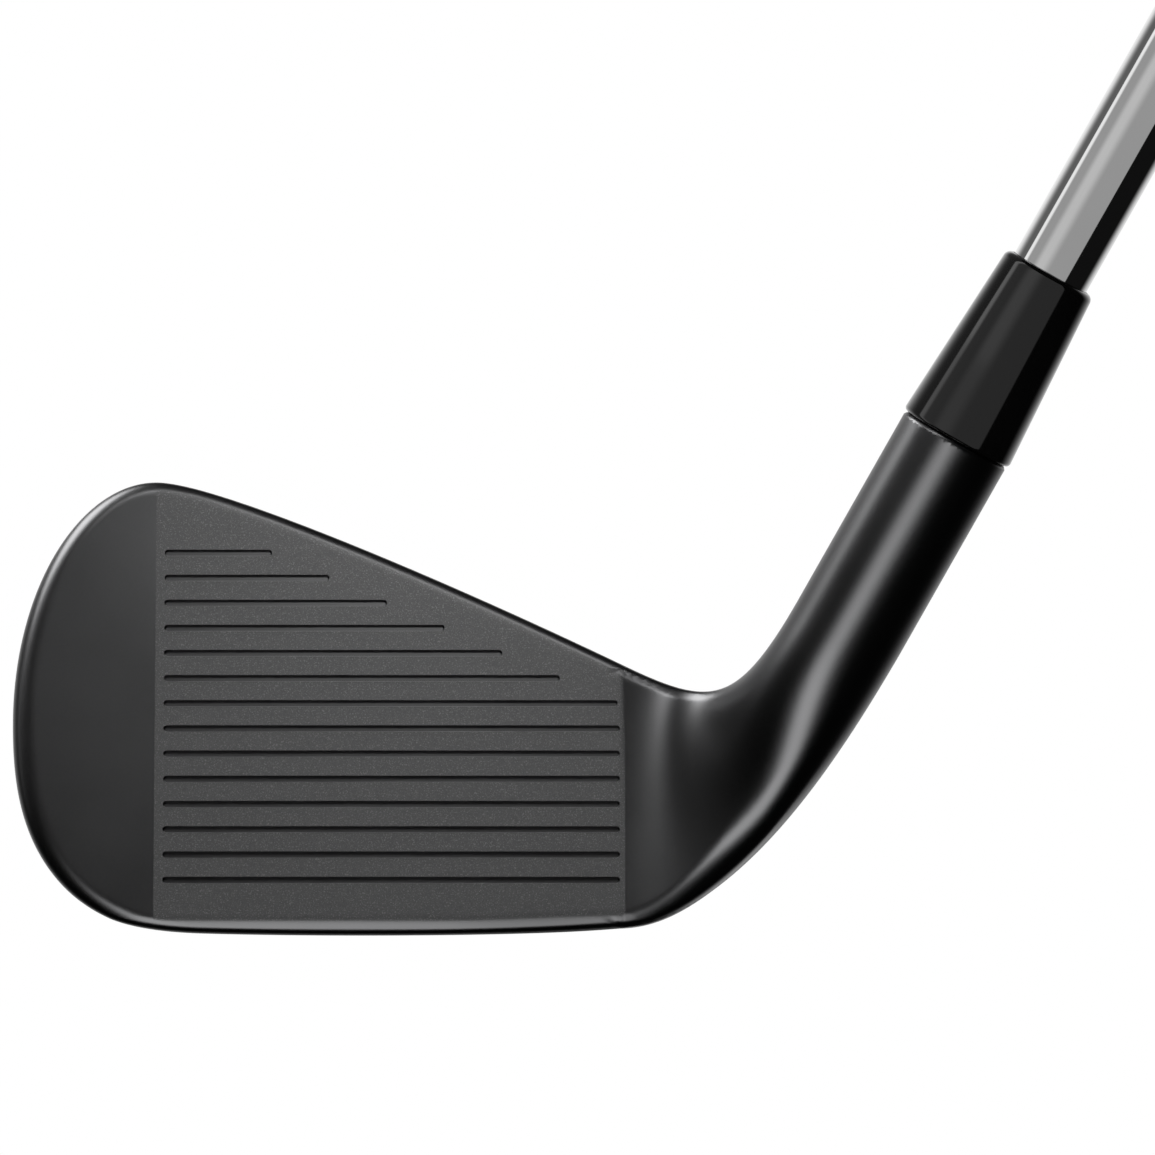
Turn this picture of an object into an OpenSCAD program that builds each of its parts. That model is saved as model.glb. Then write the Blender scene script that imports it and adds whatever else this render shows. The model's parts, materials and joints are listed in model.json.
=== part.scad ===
// Iron golf club: hollow forged head, steel shaft and slip-on rubber grip, bonded together.
// The club stands at address: +X runs from toe to heel and on up the shaft's lean, -Y is the
// way the face looks, +Z is up. The origin is where the shaft's axis meets the ground.

/* [Club] */
// Length along the shaft's axis, from the ground to the top of the grip's cap
club_length = 978; // [880:1:1130]
// Lie: angle between the shaft's axis and the ground
lie = 60.5; // [58:0.5:64]
// Loft: how far the face leans back from upright
loft = 23; // [18:1:27]

/* [Head] */
// Toe to the point under the shaft's axis
blade_length = 76; // [70:0.5:92]
// Height of the toe's crest over the ground
toe_height = 52.6; // [48:0.1:60]
// Height of the widest point of the toe
toe_waist = 26; // [23:0.5:29]
// Width of the crest's round end, seen from the front
toe_reach = 16.3; // [13:0.1:20]
// Height of the topline where it runs into the heel
heel_height = 31.8; // [26:0.1:35]
// Width of the sole from front to back
sole_width = 19; // [17:0.1:23]
// Thickness of the topline and the thin upper blade, square to the face
topline_thickness = 5.6; // [5.2:0.1:6.6]
// Thickness of the muscle at its upper edge, square to the face
muscle_thickness = 10; // [9:0.1:12]
// Distance up the face to the muscle's upper edge
muscle_height = 21; // [18:0.5:22]
// How far the leading edge sits behind the hosel's front
offset_back = 3.3; // [0:0.1:5]
// Height of the leading edge over the ground
lead_height = 1.3; // [0.8:0.1:2]
// Radius of the leading edge
edge_radius = 1.4; // [1:0.1:1.8]

/* [Face plate] */
// Thickness of the face plate
face_thickness = 2.6; // [2:0.1:3.2]
// Distance from the toe's tip to the plate's toe edge
plate_toe_inset = 16.5; // [14:0.1:20]
// Distance from the shaft's ground point to the plate's heel edge
plate_heel_inset = 5.1; // [4:0.1:8]
// Number of grooves
groove_count = 14; // [8:1:15]
// Spacing of the grooves, up the face
groove_pitch = 3.07; // [2.8:0.01:3.3]
// Width of a groove
groove_width = 0.8; // [0.5:0.05:0.9]
// Depth of a groove
groove_depth = 0.45; // [0.3:0.05:0.5]
// Distance up the face to the lowest groove
groove_start = 6.6; // [4.5:0.1:8]

/* [Hollow] */
// Wall of the hollow body
wall = 2.5; // [1.8:0.1:3]
// Length of the tungsten weight, from the hollow's toe end
weight_length = 17; // [8:0.5:20]
// Diameter of the filling port's screw
port_d = 5; // [4:0.5:6]
// Thickness of the badge
badge_thickness = 0.8; // [0.5:0.1:1]
// Thickness of the badge's adhesive pad
pad_thickness = 0.4; // [0.2:0.1:0.5]
// Depth of the recess that locates the badge
recess_depth = 0.6; // [0.4:0.1:0.9]

/* [Hosel and ferrule] */
// Outer diameter of the hosel
hosel_d = 13.3; // [12.6:0.1:15]
// Length of the hosel's axis, from the ground to its mouth
hosel_length = 67; // [60:0.5:76]
// Depth of the hosel's bore
bore_depth = 31; // [25:0.5:32]
// Gap for adhesive round the shaft's tip
glue_gap = 0.1; // [0.05:0.01:0.2]
// Length of the ferrule
ferrule_length = 22; // [18:0.5:27]
// How far the ferrule's lower end stands proud of the hosel
ferrule_lip = 0.25; // [0:0.05:0.4]
// Thickness of the ferrule round the shaft at its upper end
ferrule_wall = 1; // [0.7:0.05:1.3]
// Height of the swing weight's collar under the shaft's tip
collar_height = 1.5; // [1:0.1:2]

/* [Shaft] */
// Diameter of the shaft's tip
tip_d = 9.4; // [9:0.05:9.8]
// Diameter of the shaft's butt
butt_d = 15.2; // [14.7:0.05:15.5]
// Wall at the tip
tip_wall = 0.6; // [0.5:0.05:0.9]
// Wall at the butt
butt_wall = 0.34; // [0.3:0.01:0.6]
// Number of steps in the shaft
step_count = 13; // [8:1:16]
// Spacing of the steps
step_pitch = 25; // [20:0.5:30]
// Distance from the ground to the first step
first_step = 290; // [240:1:300]
// Length of the label's plain band
band_length = 60; // [40:1:70]
// Thickness of the band
band_thickness = 0.1; // [0.05:0.01:0.2]

/* [Grip] */
// Length of the grip with its cap
grip_length = 268; // [255:1:272]
// Outer diameter of the grip's mouth
mouth_d = 17.6; // [17.2:0.1:18.5]
// Outer diameter of the grip under its cap
grip_butt_d = 26.4; // [25.8:0.1:27.5]
// Thickness of the grip tape
tape_thickness = 0.25; // [0.15:0.05:0.4]
// Thickness of the grip's cap
cap_thickness = 3.2; // [2.8:0.1:4]
// Diameter of the vent hole in the cap
vent_d = 3.2; // [2.5:0.1:4]

/* [Hidden] */
$fn = 72;
eps = 0.01;
reach = 1.2 * blade_length;        // longer than the head is wide, deep or tall

black_steel = [0.1, 0.1, 0.1];
blasted_steel = [0.24, 0.24, 0.24];
chrome = [0.8, 0.82, 0.84];
tungsten = [0.35, 0.35, 0.36];
brass = [0.72, 0.58, 0.3];
foam = [0.85, 0.8, 0.62];
epoxy = [0.75, 0.7, 0.45];
gloss_black = [0.03, 0.03, 0.03];
tape_white = [0.9, 0.89, 0.84];
band_grey = [0.25, 0.25, 0.26];
rubber = [0.07, 0.07, 0.07];

hosel_r = hosel_d / 2;
tip_r = tip_d / 2;
butt_r = butt_d / 2;
bore_r = tip_r + glue_gap;
axis_dir = [cos(lie), sin(lie)];   // up the shaft, as [x, z]
axis_side = [-sin(lie), cos(lie)]; // square to it, towards the toe
lead_y = offset_back - hosel_r;    // the leading edge lies behind the hosel's front
toe_x = -blade_length;
crest_x = toe_x + toe_reach;
plate_toe_x = toe_x + plate_toe_inset;
plate_heel_x = -plate_heel_inset;
blade_end_x = plate_heel_x + 0.4;  // the blade's extruded part ends just past the plate
bore_s = hosel_length - bore_depth;
tip_s = bore_s + collar_height;
cap_s = club_length - cap_thickness;
grip_s = club_length - grip_length;

// ---- Curves -------------------------------------------------------------------------------

function bezier(p, t) = pow(1 - t, 3) * p[0] + 3 * pow(1 - t, 2) * t * p[1]
                      + 3 * (1 - t) * t * t * p[2] + pow(t, 3) * p[3];
function curve(p, n) = [for (i = [0:n - 1]) bezier(p, i / n)];
function sum(list) = list * [for (item = list) 1];
function unit(p) = p / norm(p);

// A closed outline with each corner turned into a curve that starts r from the corner.
function round_corners(p, r) =
  [for (i = [0:len(p) - 1])
     let (before = p[(i + len(p) - 1) % len(p)], after = p[(i + 1) % len(p)],
          a = p[i] + r * unit(before - p[i]), b = p[i] + r * unit(after - p[i]))
     for (t = [0:0.25:1]) (1 - t) * (1 - t) * a + 2 * t * (1 - t) * p[i] + t * t * b];

// Front outline of the blade as [x, z], from the topline's heel end round the toe to the sole's.
toe_turn = toe_x + 22;             // where the toe's lower curve runs out into the sole
toe_turn_z = 0.65;
blade_end_z = 1.7;                 // underside of the blade where the heel's loft takes over
topline_slope = tan(25);           // the topline's fall where it reaches the heel
topline_curve = [[plate_heel_x, heel_height], [plate_heel_x - 20, heel_height + 20 * topline_slope],
                 [crest_x + 7, toe_height], [crest_x, toe_height]];
crest_curve = [for (a = [90:7.5:179]) [crest_x + toe_reach * cos(a),
                                       toe_waist + (toe_height - toe_waist) * sin(a)]];
low_toe_curve = [[toe_x, toe_waist], [toe_x, toe_waist - 17],
                 [toe_turn - 15.4, toe_turn_z + 0.9], [toe_turn, toe_turn_z]];
sole_curve = [[toe_turn, toe_turn_z], [toe_turn + 15, toe_turn_z - 0.9],
              [blade_end_x - 13, blade_end_z - 1.7], [blade_end_x, blade_end_z]];
blade_end_top = heel_height - (blade_end_x - plate_heel_x) * topline_slope;
blade_outline = concat([[blade_end_x, blade_end_top]], curve(topline_curve, 14), crest_curve,
                       curve(low_toe_curve, 14), curve(sole_curve, 14),
                       [[blade_end_x, blade_end_z]]);

// A point of the blade's side profile as [y, z]: n is depth behind the face, v runs up the face.
function profile(n, v) = [lead_y + n * cos(loft) + v * sin(loft),
                          lead_height + v * cos(loft) - n * sin(loft)];
// How far up the face a height lies.
function up_face(z) = (z - lead_height) / cos(loft);

// The sole is cambered from front to back: lead_height at the front, 0 at its lowest line.
sole_low = 0.5;                    // share of the sole's width at its lowest line
trail_height = 2.6;
function camber(u) = u < sole_low ? lead_height * pow(1 - u / sole_low, 2)
                                  : trail_height * pow((u - sole_low) / (1 - sole_low), 2);
function sole_point(u, lift = 0) = [lead_y + u * sole_width, camber(u) + lift];
shelf_height = muscle_height + 5;  // where the muscle's shelf meets the thin upper blade
blade_profile = concat([profile(0, reach), profile(0, edge_radius * 1.3), profile(0.25, 0.5)],
                       [for (u = [0.06:0.094:1]) sole_point(u)],
                       [profile(muscle_thickness, muscle_height),
                        profile(muscle_thickness - 0.8, muscle_height + 0.9),
                        profile(topline_thickness + 0.8, shelf_height - 1),
                        profile(topline_thickness, shelf_height),
                        profile(topline_thickness, reach)]);

// ---- Placing ------------------------------------------------------------------------------

// Children's +Z runs up the shaft's axis, from s above the ground point.
module on_axis(s = 0) rotate([0, 90 - lie, 0]) translate([0, 0, s]) children();

// Children's +Y runs up the face and their +Z out of it, from the leading edge.
module on_face() translate([0, lead_y, lead_height]) rotate([90 - loft, 0, 0]) children();

// A slice of the head between two depths behind the face, with an outline as [x, up the face].
module face_slice(outline, front, back) on_face() translate([0, 0, -back])
  linear_extrude(back - front) polygon(outline);

// A bar along X with a side profile as [y, z].
module bar(side, from_x, to_x) rotate([90, 0, 90]) translate([0, 0, from_x])
  linear_extrude(to_x - from_x) polygon(side);

// A shape of revolution on the shaft's axis, from [radius, distance from the ground] points.
module turned(points) on_axis() rotate_extrude() polygon(points);

// ---- Head ---------------------------------------------------------------------------------

// Everything behind the face plane and inside the outline, which is square to the face above
// and level from front to back below.
module blade_block() {
  level = lead_height + 1;
  intersection() {
    bar(blade_profile, toe_x - 1, blade_end_x);
    face_slice([for (p = blade_outline) [p[0], p[1] < level ? -reach / 2 : up_face(p[1])]],
               -reach, reach);
    translate([0, reach, 0]) rotate([90, 0, 0]) linear_extrude(2 * reach)
      polygon([for (p = blade_outline) p[1] > toe_waist ? [p[0], p[1] + 1] : p]);
  }
}

// The heel is a loft of sections that fan from the blade's upright end round to the hosel's
// circle, between a line along its crotch and a line along its outer edge.
loft_steps = 14;
loft_points = 32;
loft_start_x = plate_heel_x - 0.6;
loft_end_s = 42;                   // distance up the axis where the round hosel begins
loft_end_r = hosel_r * 0.985;
crotch_start = [loft_start_x, heel_height + 0.1];
crotch_end = loft_end_s * axis_dir + loft_end_r * axis_side;
crotch_line = [crotch_start, crotch_start + [10, -5.7], crotch_end - 15 * axis_dir, crotch_end];
edge_end = loft_end_s * axis_dir - loft_end_r * axis_side;
edge_line = [[loft_start_x, blade_end_z + 0.1], [loft_start_x + 12.5, blade_end_z - 0.1],
             edge_end - 16 * axis_dir - [0.6, 0.6], edge_end];
section_centre = [lead_y + 12, (crotch_start[1] + blade_end_z) / 2];
corner_power = 16;
// Sides of the first section: the angle that each one faces, and a point [y, z] on it.
trail_point = [lead_y + sole_width - 0.1, trail_height];
section_sides = [[180 - loft, profile(0.15, 0)], [90 - loft, profile(0, up_face(heel_height))],
                 [-98, [lead_y, lead_height + 0.8]], [-90, [0, blade_end_z]],
                 [-75, trail_point], [3, trail_point]];
function side_distance(s) = (s[1] - section_centre) * [cos(s[0]), sin(s[0])];
function section_radius(a) =
  1 / pow(sum([for (s = section_sides) pow(max(0, cos(a - s[0])) / side_distance(s), corner_power)]),
          1 / corner_power);
section_angles = [for (k = [0:loft_points - 1]) 360 * k / loft_points];
section_top = max([for (a = section_angles) section_radius(a) * sin(a)]);
section_bottom = -min([for (a = section_angles) section_radius(a) * sin(a)]);
function ease(t) = pow(t, 3) * (6 * t * t - 15 * t + 10);
function section_rise(a) = section_radius(a) * sin(a) / (a < 180 ? section_top : section_bottom);
function heel_point(a, t) =
  let (top = bezier(crotch_line, t), low = bezier(edge_line, t), turn = ease(t),
       rise = (1 - turn) * section_rise(a) + turn * sin(a),
       depth = (1 - turn) * (section_centre[0] + section_radius(a) * cos(a)) + turn * loft_end_r * cos(a),
       p = (top + low) / 2 + rise * (top - low) / 2)
  [p[0], depth, p[1]];

module heel_loft() {
  points = [for (i = [0:loft_steps], a = section_angles) heel_point(a, i / loft_steps)];
  sides = [for (i = [0:loft_steps - 1], k = [0:loft_points - 1], half = [0, 1])
           let (a = i * loft_points, b = a + loft_points, m = (k + 1) % loft_points)
           half == 0 ? [a + k, b + k, a + m] : [a + m, b + k, b + m]];
  ends = [[for (k = [0:loft_points - 1]) k],
          [for (k = [loft_points - 1:-1:0]) loft_steps * loft_points + k]];
  polyhedron(points, concat(sides, ends));
}

module hosel_tube() on_axis(loft_end_s - 1) cylinder(r = hosel_r, h = hosel_length - loft_end_s + 1);

// Room for the face plate: open to the front, from the plate's toe edge to its heel edge.
module plate_room() face_slice([[plate_toe_x, -reach], [plate_heel_x, -reach],
                                [plate_heel_x, reach], [plate_toe_x, reach]], -reach, face_thickness);

// The hollow behind the face plate: wide in the muscle, a narrow gap behind the upper face.
upper_gap = 0.8;
hollow_shrink = [0.86, 0.82];      // the hollow's outline against the blade's
hollow_centre = [toe_x + 33, 24];
hollow_outline = [for (p = blade_outline) hollow_centre + [(p[0] - hollow_centre[0]) * hollow_shrink[0],
                                                           (p[1] - hollow_centre[1]) * hollow_shrink[1]]];
function hollow_profile(front) =
  concat([profile(front, reach), profile(front, 3.2)],
         [for (u = [0.25:0.1:0.86]) sole_point(u, wall)],
         [profile(muscle_thickness - wall, muscle_height - 1.4),
          profile(face_thickness + upper_gap, shelf_height),
          profile(face_thickness + upper_gap, reach)]);
module hollow(front = face_thickness, from_x = toe_x) intersection() {
  bar(hollow_profile(front), from_x, blade_end_x);
  face_slice([for (p = hollow_outline) [p[0], up_face(p[1])]], 0, reach);
}

// The toe end of the hollow, below the shelf, holds the weight.
weight_top = muscle_height - 3;
hollow_toe_x = hollow_centre[0] + (toe_x - hollow_centre[0]) * hollow_shrink[0];
module weight_room() translate([toe_x, -reach / 2, 0])
  cube([hollow_toe_x - toe_x + weight_length, reach, weight_top]);

// The filling port runs in from the toe along X, just under the weight's top.
port_r = port_d / 2;
port_cover = 0.5;
port_place = [lead_y + 0.62 * sole_width, weight_top - port_cover - port_r];
port_toe_x = toe_x + 2.6;          // the screw's outer end, just under the toe's surface
screw_length = 5.5;
module port_bore(from_x, to_x) translate([from_x, port_place[0], port_place[1]])
  rotate([0, 90, 0]) cylinder(r = port_r, h = to_x - from_x);

// The badge's outline on the thin upper blade's back, as [x, up the face].
badge_low = shelf_height + 1.6;
badge_outline = round_corners([[crest_x - 1, badge_low], [plate_heel_x - 14, badge_low],
                               [plate_heel_x - 19, badge_low + 4.5], [crest_x + 1, badge_low + 16]], 2.5);
recess_n = topline_thickness - recess_depth;

module hosel_bore() on_axis(bore_s) cylinder(r = bore_r, h = bore_depth + 1);

module head_body() color(black_steel) difference() {
  union() {
    blade_block();
    heel_loft();
    hosel_tube();
  }
  plate_room();
  hollow();
  hollow(face_thickness - 1, plate_toe_x);
  port_bore(toe_x - 1, port_toe_x + screw_length);
  face_slice(badge_outline, recess_n, reach);
  hosel_bore();
}

// Grooves are cut across the plate, and end on a line along the topline.
groove_toe_x = plate_toe_x + 1;
groove_margin = 5;                 // height between that line and the topline's heel end
groove_end_slope = 1.11 * (toe_height - heel_height) / (plate_heel_x - crest_x);
function groove_heel_x(z) = min(plate_heel_x - 0.6,
                                plate_heel_x - (z + groove_margin - heel_height) / groove_end_slope);
module groove(v) {
  end_x = groove_heel_x(lead_height + v * cos(loft));
  bar([profile(-groove_depth, v - groove_width), profile(groove_depth, v),
       profile(-groove_depth, v + groove_width)], groove_toe_x, end_x);
}

module face_plate() color(blasted_steel) difference() {
  intersection() {
    blade_block();
    plate_room();
  }
  for (i = [0:groove_count - 1]) groove(groove_start + i * groove_pitch);
}

module core_foam() color(foam) difference() {
  hollow();
  weight_room();
}

module toe_weight() color(tungsten) difference() {
  intersection() {
    hollow();
    weight_room();
  }
  port_bore(toe_x, port_toe_x + screw_length);
}

socket_d = 2.5;                    // across the corners
socket_depth = 2;
module port_screw() color(chrome) difference() {
  port_bore(port_toe_x, port_toe_x + screw_length);
  translate([port_toe_x - eps, port_place[0], port_place[1]]) rotate([0, 90, 0])
    cylinder(d = socket_d, h = socket_depth, $fn = 6);
}

module badge_pad() color(gloss_black) face_slice(badge_outline, recess_n, recess_n + pad_thickness);

module badge() color(band_grey)
  face_slice(badge_outline, recess_n + pad_thickness, recess_n + pad_thickness + badge_thickness);

// ---- Shaft --------------------------------------------------------------------------------

module hosel_adhesive() color(epoxy)
  turned([[tip_r, tip_s], [bore_r, tip_s], [bore_r, hosel_length], [tip_r, hosel_length]]);

// A plug in the shaft's tip, with a collar under it.
plug_length = 14;
plug_r = tip_r - tip_wall - 0.1;
module swing_weight() color(brass)
  turned([[0, bore_s], [tip_r - 0.4, bore_s], [tip_r, bore_s + 0.4], [tip_r, tip_s], [plug_r, tip_s],
          [plug_r, tip_s + plug_length], [0, tip_s + plug_length]]);

ferrule_s = hosel_length + ferrule_length;
ferrule_low_r = hosel_r + ferrule_lip;
ferrule_top_r = tip_r + ferrule_wall;
low_rim = 0.6;
high_rim = 0.8 * ferrule_wall;
module ferrule() color(gloss_black)
  turned(concat([[tip_r, hosel_length]],
                [for (a = [-90:18:0]) [ferrule_low_r - low_rim + low_rim * cos(a),
                                       hosel_length + low_rim + low_rim * sin(a)]],
                [for (a = [0:15:90]) [ferrule_top_r - high_rim + high_rim * cos(a),
                                      ferrule_s - high_rim + high_rim * sin(a)]],
                [[tip_r, ferrule_s]]));

// The shaft widens from tip to butt in short steps.
step_ramp = 1.5;
step_rise = (butt_r - tip_r) / step_count;
function wall_at(s) = tip_wall + (butt_wall - tip_wall) * (s - tip_s) / (cap_s - tip_s);
shaft_line = concat([[tip_r, tip_s]],
                    [for (i = [0:step_count - 1], end = [0, 1])
                     [tip_r + (i + end) * step_rise, first_step + i * step_pitch + end * step_ramp]],
                    [[butt_r, cap_s]]);
module shaft() color(chrome)
  turned(concat(shaft_line, [for (i = [len(shaft_line) - 1:-1:0])
                             shaft_line[i] - [wall_at(shaft_line[i][1]), 0]]));

band_gap = 20;                     // bare shaft between the band and the grip
band_s = grip_s - band_gap - band_length;
module shaft_band() color(band_grey)
  turned([[butt_r, band_s], [butt_r + band_thickness, band_s],
          [butt_r + band_thickness, band_s + band_length], [butt_r, band_s + band_length]]);

// ---- Grip ---------------------------------------------------------------------------------

// The tape stops short of the mouth, where the sleeve closes onto the bare shaft.
lip_length = 4;
tape_s = grip_s + lip_length;
tape_r = butt_r + tape_thickness;
module grip_tape() color(tape_white)
  turned([[butt_r, tape_s], [tape_r, tape_s], [tape_r, cap_s], [butt_r, cap_s]]);

// Outer radius of the sleeve, u of the way from its mouth to the cap.
function grip_r(u) = mouth_d / 2 + (grip_butt_d - mouth_d) / 2 * (0.72 * u + 0.28 * pow(u, 4));
mouth_bevel = 0.8;
module grip_sleeve() color(rubber)
  turned(concat([[butt_r, grip_s], [mouth_d / 2 - mouth_bevel, grip_s]],
                [for (u = [0.005, each [0.1:0.1:1]]) [grip_r(u), grip_s + u * (cap_s - grip_s)]],
                [[tape_r, cap_s], [tape_r, tape_s], [butt_r, tape_s]]));

cap_rim = 1.6;
module grip_cap() color(rubber)
  turned(concat([[vent_d / 2, cap_s], [grip_butt_d / 2, cap_s]],
                [for (a = [0:15:90]) [grip_butt_d / 2 - cap_rim + cap_rim * cos(a),
                                      club_length - cap_rim + cap_rim * sin(a)]],
                [[vent_d / 2, club_length]]));

head_body();
face_plate();
core_foam();
toe_weight();
port_screw();
badge_pad();
badge();
hosel_adhesive();
swing_weight();
ferrule();
shaft();
shaft_band();
grip_tape();
grip_sleeve();
grip_cap();
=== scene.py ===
"""An iron golf club: shaped steel head, grooved face, ferrule, stepped shaft and rubber grip."""

import json
import math

import bmesh
import bpy
import numpy as np
from mathutils import Matrix, Vector

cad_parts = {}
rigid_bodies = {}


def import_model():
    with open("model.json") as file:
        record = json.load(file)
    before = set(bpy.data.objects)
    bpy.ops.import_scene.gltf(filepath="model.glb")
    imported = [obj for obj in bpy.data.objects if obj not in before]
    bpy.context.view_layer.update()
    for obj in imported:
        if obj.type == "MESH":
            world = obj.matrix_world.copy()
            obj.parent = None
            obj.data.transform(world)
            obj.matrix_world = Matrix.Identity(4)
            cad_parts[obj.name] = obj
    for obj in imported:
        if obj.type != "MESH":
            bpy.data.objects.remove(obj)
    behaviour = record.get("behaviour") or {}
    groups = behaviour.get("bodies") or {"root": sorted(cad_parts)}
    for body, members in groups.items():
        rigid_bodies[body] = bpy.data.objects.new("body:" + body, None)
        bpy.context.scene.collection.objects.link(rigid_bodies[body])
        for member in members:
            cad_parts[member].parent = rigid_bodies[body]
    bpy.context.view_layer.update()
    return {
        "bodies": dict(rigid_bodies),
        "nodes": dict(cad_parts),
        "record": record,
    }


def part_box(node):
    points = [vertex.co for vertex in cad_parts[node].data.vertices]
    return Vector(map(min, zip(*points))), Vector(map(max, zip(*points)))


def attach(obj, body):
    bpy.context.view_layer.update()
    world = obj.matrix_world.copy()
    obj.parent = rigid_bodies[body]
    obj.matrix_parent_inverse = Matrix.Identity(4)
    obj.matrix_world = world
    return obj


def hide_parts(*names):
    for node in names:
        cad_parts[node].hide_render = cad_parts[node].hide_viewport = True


bl_info = {
    "name": "Iron Golf Club",
    "version": (1, 0, 0),
    "blender": (4, 5, 0),
    "location": "View3D > Sidebar > Golf",
    "description": "Models an iron golf club piece by piece, with its finishes and a plain studio",
    "category": "Add Mesh",
}

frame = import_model()

MM = 0.001
BODY = list(frame["bodies"])[0]
MOUNTS = {mount["name"]: mount for mount in frame["record"]["mounts"]}
AXIS = Vector(MOUNTS["butt_face"]["axis"]).normalized()     # up the shaft
SIDE = Vector((-AXIS.z, 0, AXIS.x))                         # square to it, towards the toe


# ---- Sizes and colours that a user would change -------------------------------------------


def length(name, description, default, low=0.0):
    return bpy.props.FloatProperty(name=name, description=description, default=default * MM, min=low * MM,
                                   subtype="DISTANCE", unit="LENGTH", precision=5)


def colour(name, description, default):
    return bpy.props.FloatVectorProperty(name=name, description=description, default=default, size=3,
                                         min=0, max=1, subtype="COLOR")


class HeadSizes(bpy.types.PropertyGroup):
    """Sizes of the head."""

    loft: bpy.props.FloatProperty(name="Loft", description="How far the face leans back, in degrees",
                                  default=23, min=15, max=30)
    edge_radius: length("Edge radius", "Rounding where the face meets the topline, toe and sole", 1.7)
    back_radius: length("Back radius", "Rounding of the edges at the back", 1.1)
    mouth_radius: length("Mouth radius", "Rounding of the hosel's mouth", 0.45)
    mesh_size: length("Mesh size", "Spacing of the head's mesh", 0.42, 0.3)
    face_thickness: length("Face thickness", "Thickness of the face plate", 2.6)
    groove_width: length("Groove width", "Width of a groove at the face", 0.8)
    groove_depth: length("Groove depth", "Depth of a groove", 0.4)
    groove_pitch: length("Groove pitch", "Spacing of the grooves, up the face", 3.07)
    groove_start: length("First groove", "Distance up the face to the lowest groove", 6.6)
    groove_count: bpy.props.IntProperty(name="Grooves", description="Number of grooves", default=14, min=1)


class ShaftSizes(bpy.types.PropertyGroup):
    """Sizes of the ferrule, shaft and band."""

    rim: length("Rim", "Rounding of the ferrule's rims", 0.9)
    steps: bpy.props.IntProperty(name="Steps", description="Number of steps in the shaft", default=13, min=1)
    step_pitch: length("Step pitch", "Spacing of the steps", 25)
    first_step: length("First step", "Distance from the ground to the first step", 290)
    step_ramp: length("Step ramp", "Length of a step's slope", 1.5)


class GripSizes(bpy.types.PropertyGroup):
    """Sizes of the grip's moulded pattern."""

    dimple_pitch: length("Dimple pitch", "Spacing of the pattern along the grip", 5)
    dimple_depth: length("Dimple depth", "Depth of the pattern", 0.35)
    dimples_round: bpy.props.IntProperty(name="Dimples round", description="Dimples in a ring", default=14, min=4)


class Finishes(bpy.types.PropertyGroup):
    """Colours of the finishes."""

    black_steel: colour("Black steel", "Satin black coating of the head", (0.105, 0.105, 0.107))
    blasted_steel: colour("Blasted steel", "Blasted face", (0.118, 0.118, 0.119))
    chrome: colour("Chrome", "Plating of the shaft", (0.82, 0.82, 0.82))
    ferrule: colour("Ferrule", "Gloss black plastic", (0.006, 0.006, 0.006))
    band: colour("Band", "Plain film band on the shaft", (0.06, 0.06, 0.065))
    rubber: colour("Rubber", "Grip and cap", (0.018, 0.018, 0.019))
    badge: colour("Badge", "Brushed plate on the back", (0.22, 0.22, 0.225))


class StageSettings(bpy.types.PropertyGroup):
    """The studio round the club."""

    lens: bpy.props.FloatProperty(name="Lens", description="Focal length, in millimetres", default=540, min=50)
    distance: bpy.props.FloatProperty(name="Camera distance", description="From the camera to the head",
                                      default=2.0, min=0.5, unit="LENGTH")
    elevation: bpy.props.FloatProperty(name="Camera elevation", description="Above the horizon, in degrees",
                                       default=4)
    room_light: bpy.props.FloatProperty(name="Room light", description="Brightness of the room", default=0.006, min=0)
    wall_light: bpy.props.FloatProperty(name="Wall light", description="Brightness of the wall behind",
                                        default=0.8, min=0)
    shaft_light: bpy.props.FloatProperty(name="Shaft light", description="Strength of the light round the shaft",
                                         default=1, min=0)
    head_light: bpy.props.FloatProperty(name="Head light", description="Strength of the head's softboxes",
                                        default=1, min=0)
    floor: colour("Floor", "The pale floor", (0.9, 0.9, 0.9))


class ClubSettings(bpy.types.PropertyGroup):
    """All settings of the club."""

    head: bpy.props.PointerProperty(type=HeadSizes, name="Head")
    shaft: bpy.props.PointerProperty(type=ShaftSizes, name="Shaft")
    grip: bpy.props.PointerProperty(type=GripSizes, name="Grip")
    finish: bpy.props.PointerProperty(type=Finishes, name="Finishes")
    stage: bpy.props.PointerProperty(type=StageSettings, name="Stage")


# ---- The head's surface -------------------------------------------------------------------


def smooth_step(t):
    t = np.clip(t, 0, 1)
    return t * t * (3 - 2 * t)


def round_max(a, b, r):
    """The larger of two distances, with the edge between them rounded to radius r."""
    return np.minimum(-r, np.maximum(a, b)) + np.hypot(np.maximum(a + r, 0), np.maximum(b + r, 0))


def smooth_min(a, b, k):
    """The smaller of two distances, with a fillet about k wide in the corner between them."""
    h = np.clip(0.5 + 0.5 * (b - a) / k, 0, 1)
    return b + (a - b) * h - k * h * (1 - h)


def bezier(points, t):
    a, b, c, d = (np.array(p, float) for p in points)
    t = np.asarray(t, float)[..., None]
    return (1 - t) ** 3 * a + 3 * (1 - t) ** 2 * t * b + 3 * (1 - t) * t * t * c + t ** 3 * d


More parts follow.
